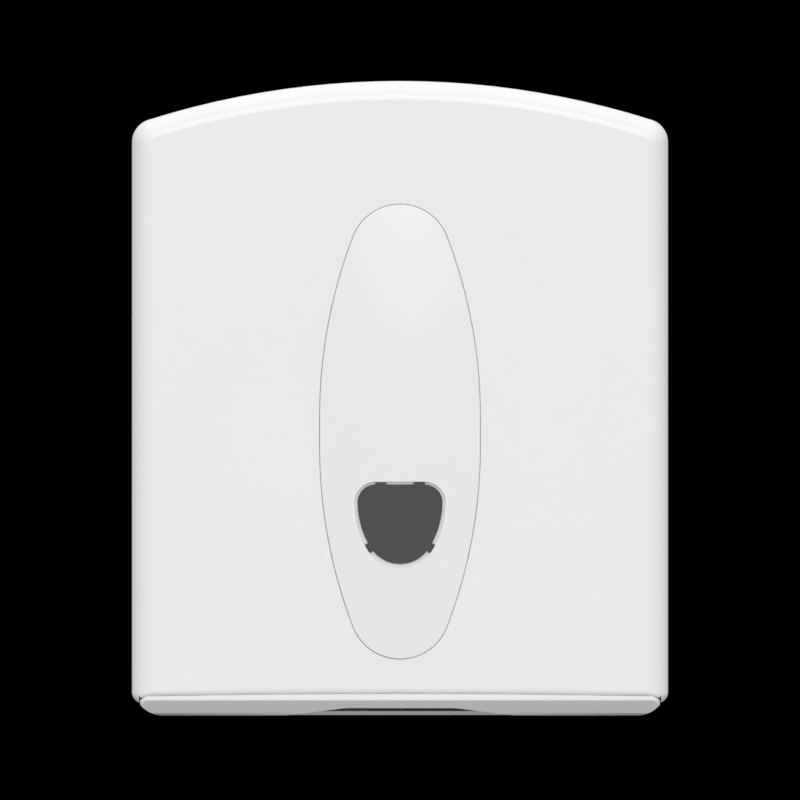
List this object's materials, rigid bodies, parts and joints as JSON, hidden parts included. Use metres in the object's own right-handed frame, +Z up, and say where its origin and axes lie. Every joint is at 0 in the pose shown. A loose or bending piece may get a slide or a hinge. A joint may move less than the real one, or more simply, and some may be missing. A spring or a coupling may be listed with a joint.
{
  "type": "folded paper towel dispenser",
  "caption": "Wall-mounted folded paper towel dispenser: white arched cover with an oval insert and a shield-shaped sight window, hinged over a bottom tray.",
  "frame": {"origin": "centre of the four wall screw holes, on the wall plane at the rear face of the back plate", "axes": "+Z up, +X to the right seen from the front, +Y into the wall; the front of the dispenser faces -Y"},
  "size_m": [0.275, 0.132, 0.3265],
  "materials": {
    "cover_plastic": "white moulded ABS, smooth gloss with a very fine grain",
    "panel_plastic": "white moulded ABS, slightly glossier than the cover",
    "tray_plastic": "white moulded ABS, satin gloss",
    "smoked_plastic": "dark smoked polystyrene, polished",
    "back_plate_plastic": "light grey moulded ABS, fine matt texture",
    "guide_plastic": "light grey moulded ABS, fine matt texture",
    "screw_steel": "zinc-plated steel",
    "pin_steel": "turned steel",
    "strike_steel": "folded zinc-plated sheet steel",
    "nut_steel": "nickel-plated steel",
    "lock_chrome": "chrome-plated zinc"
  },
  "bodies": {
    "frame": {"back_plate": "back_plate_plastic", "dispensing_tray": "tray_plastic", "tray_screws": "screw_steel", "towel_guide_right": "guide_plastic", "towel_guide_left": "guide_plastic", "guide_screws": "screw_steel", "strike_plate": "strike_steel", "strike_screws": "screw_steel", "hinge_pin_right": "pin_steel", "hinge_pin_left": "pin_steel"},
    "cover": {"front_cover": "cover_plastic", "insert_panel": "panel_plastic", "sight_window": "smoked_plastic", "lock_housing": "lock_chrome", "lock_washer": "screw_steel", "lock_nut": "nut_steel"},
    "lock": {"lock_barrel": "lock_chrome", "lock_cam": "strike_steel", "lock_cam_screw": "screw_steel"}
  },
  "joints": [
    {"name": "cover_hinge", "type": "hinge", "parent": "frame", "child": "cover", "pos_m": [0, -0.1218, -0.14535], "axis": [1, 0, 0], "range_deg": [0, 90]},
    {"name": "lock_turn", "type": "hinge", "parent": "cover", "child": "lock", "pos_m": [0, -0.032, 0.1455], "axis": [0, 0, -1], "range_deg": [0, 90]}
  ]
}
